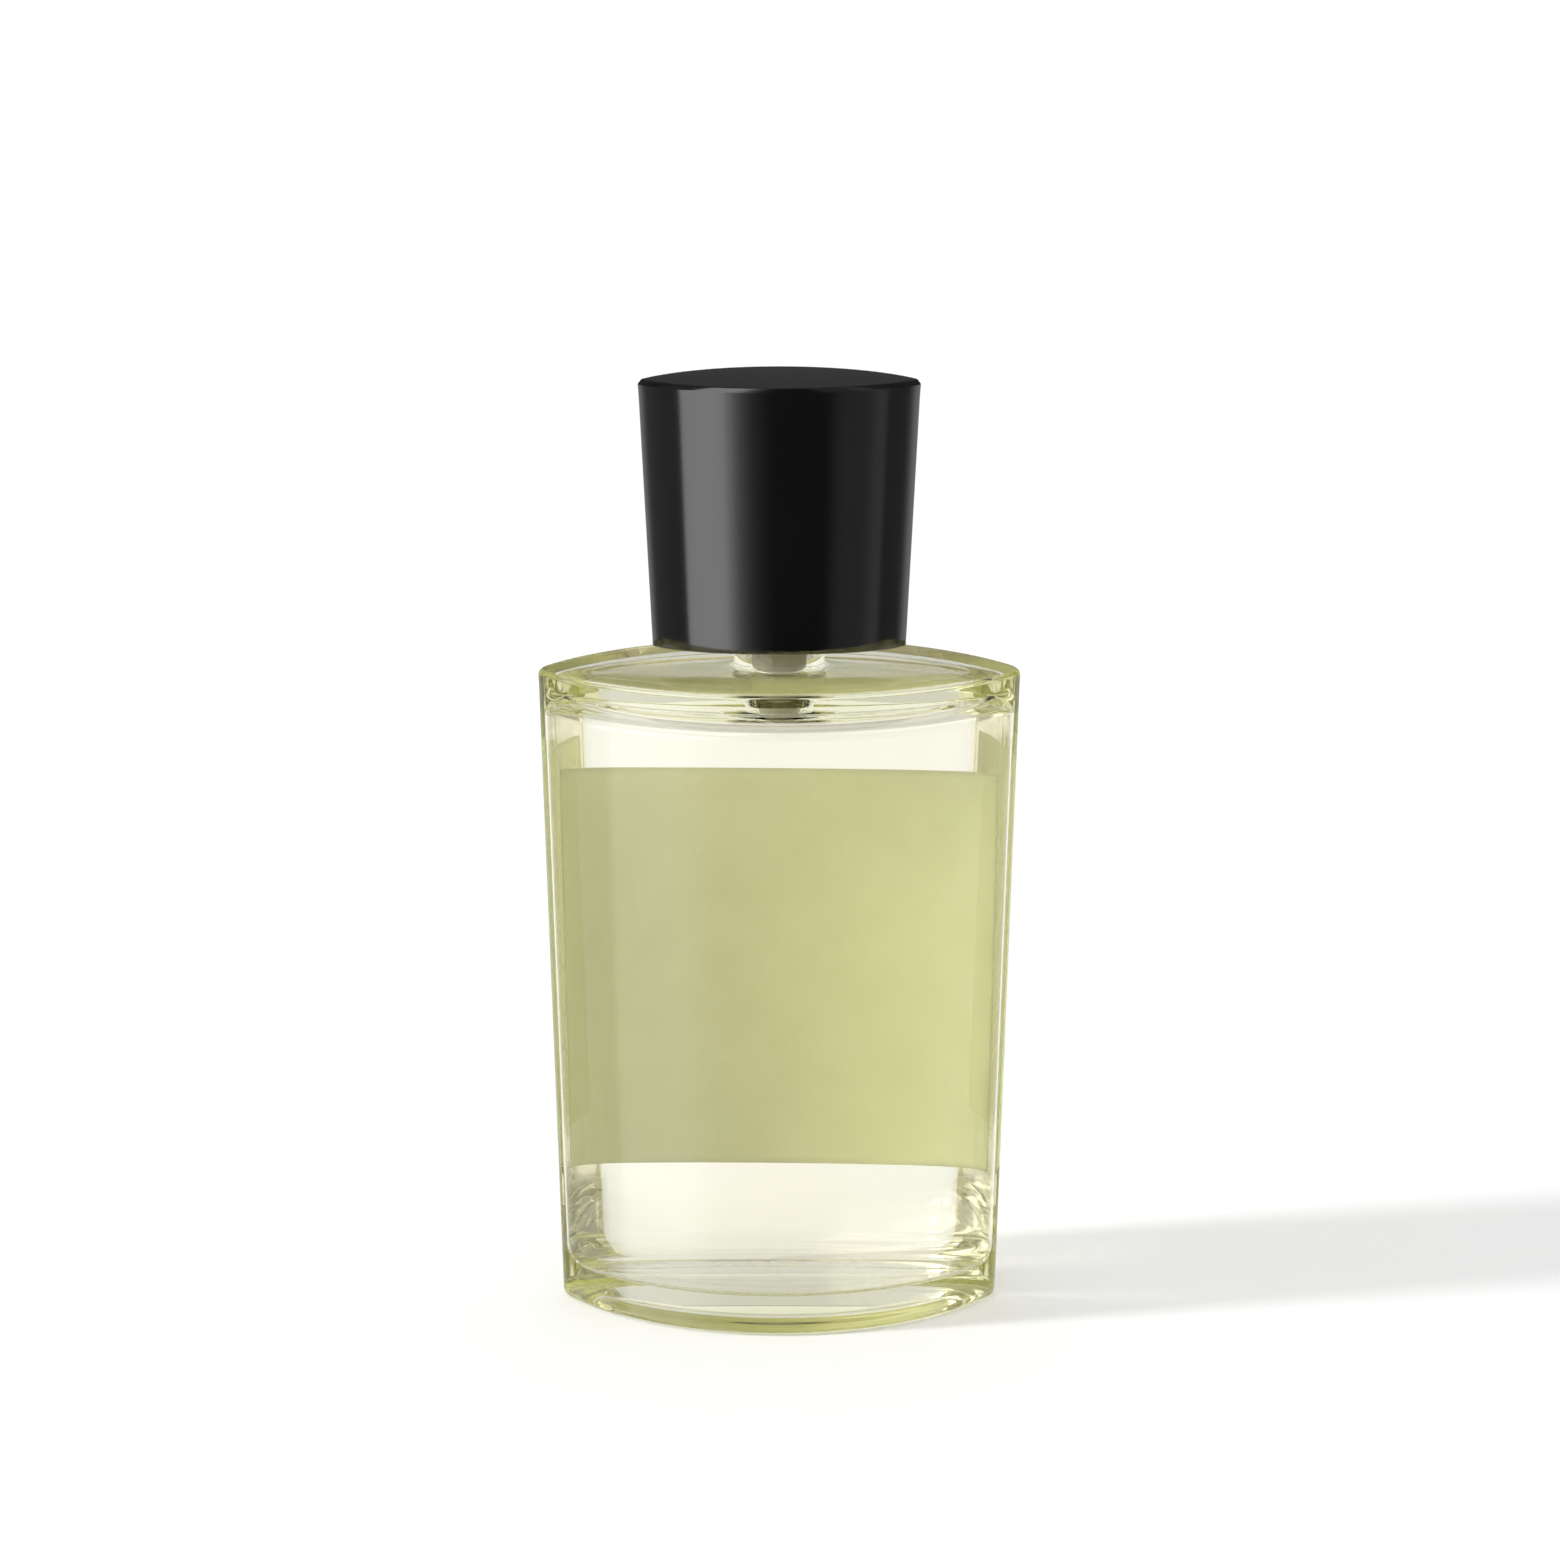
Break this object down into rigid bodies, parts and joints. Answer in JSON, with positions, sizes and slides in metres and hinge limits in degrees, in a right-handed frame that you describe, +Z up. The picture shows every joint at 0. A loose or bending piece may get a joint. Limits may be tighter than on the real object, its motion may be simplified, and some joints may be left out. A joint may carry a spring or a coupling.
{
  "type": "aftershave bottle",
  "caption": "Lens-shaped clear glass splash bottle of pale lotion with a paper label, a pour insert and a tall tapered black screw cap.",
  "frame": {"origin": "centre of the base, on the surface that the bottle stands on", "axes": "+Z up along the bottle, +X along the wide side of its lens-shaped plan, +Y out of the labelled face"},
  "size_m": [0.07, 0.042, 0.138],
  "materials": {
    "glass": "clear, fire polished",
    "lotion": "clear liquid, pale straw yellow",
    "label_paper": "uncoated laid paper, blank",
    "natural_plastic": "natural polyethylene, moulded",
    "soft_plastic": "soft white polyethylene, moulded",
    "liner_foam": "white expanded polyethylene foam",
    "black_moulding": "black polypropylene, moulded",
    "black_gloss": "polished black"
  },
  "bodies": {
    "bottle": {"bottle_glass": "glass", "aftershave_lotion": "lotion", "front_label": "label_paper", "pour_insert": "natural_plastic"},
    "loose_stopper": {"stopper": "soft_plastic"},
    "liner": {"cap_liner": "liner_foam"},
    "cap": {"cap_thread_insert": "black_moulding", "cap_shell": "black_gloss"}
  },
  "joints": [
    {"name": "cap_lift_off", "type": "slide", "parent": "bottle", "child": "loose_stopper", "axis": [0, 0, 1], "range_m": [0, 0.045]},
    {"name": "cap_rise", "type": "slide", "parent": "loose_stopper", "child": "liner", "axis": [0, 0, 1], "range_m": [0, 0.0024]},
    {"name": "cap_turn", "type": "hinge", "parent": "liner", "child": "cap", "pos_m": [0, 0, 0.1], "axis": [0, 0, 1], "range_deg": [0, 405]}
  ],
  "couplings": [
    {"joint": "cap_rise", "follows": "cap_turn", "m_per_rad": 0.00033741}
  ]
}
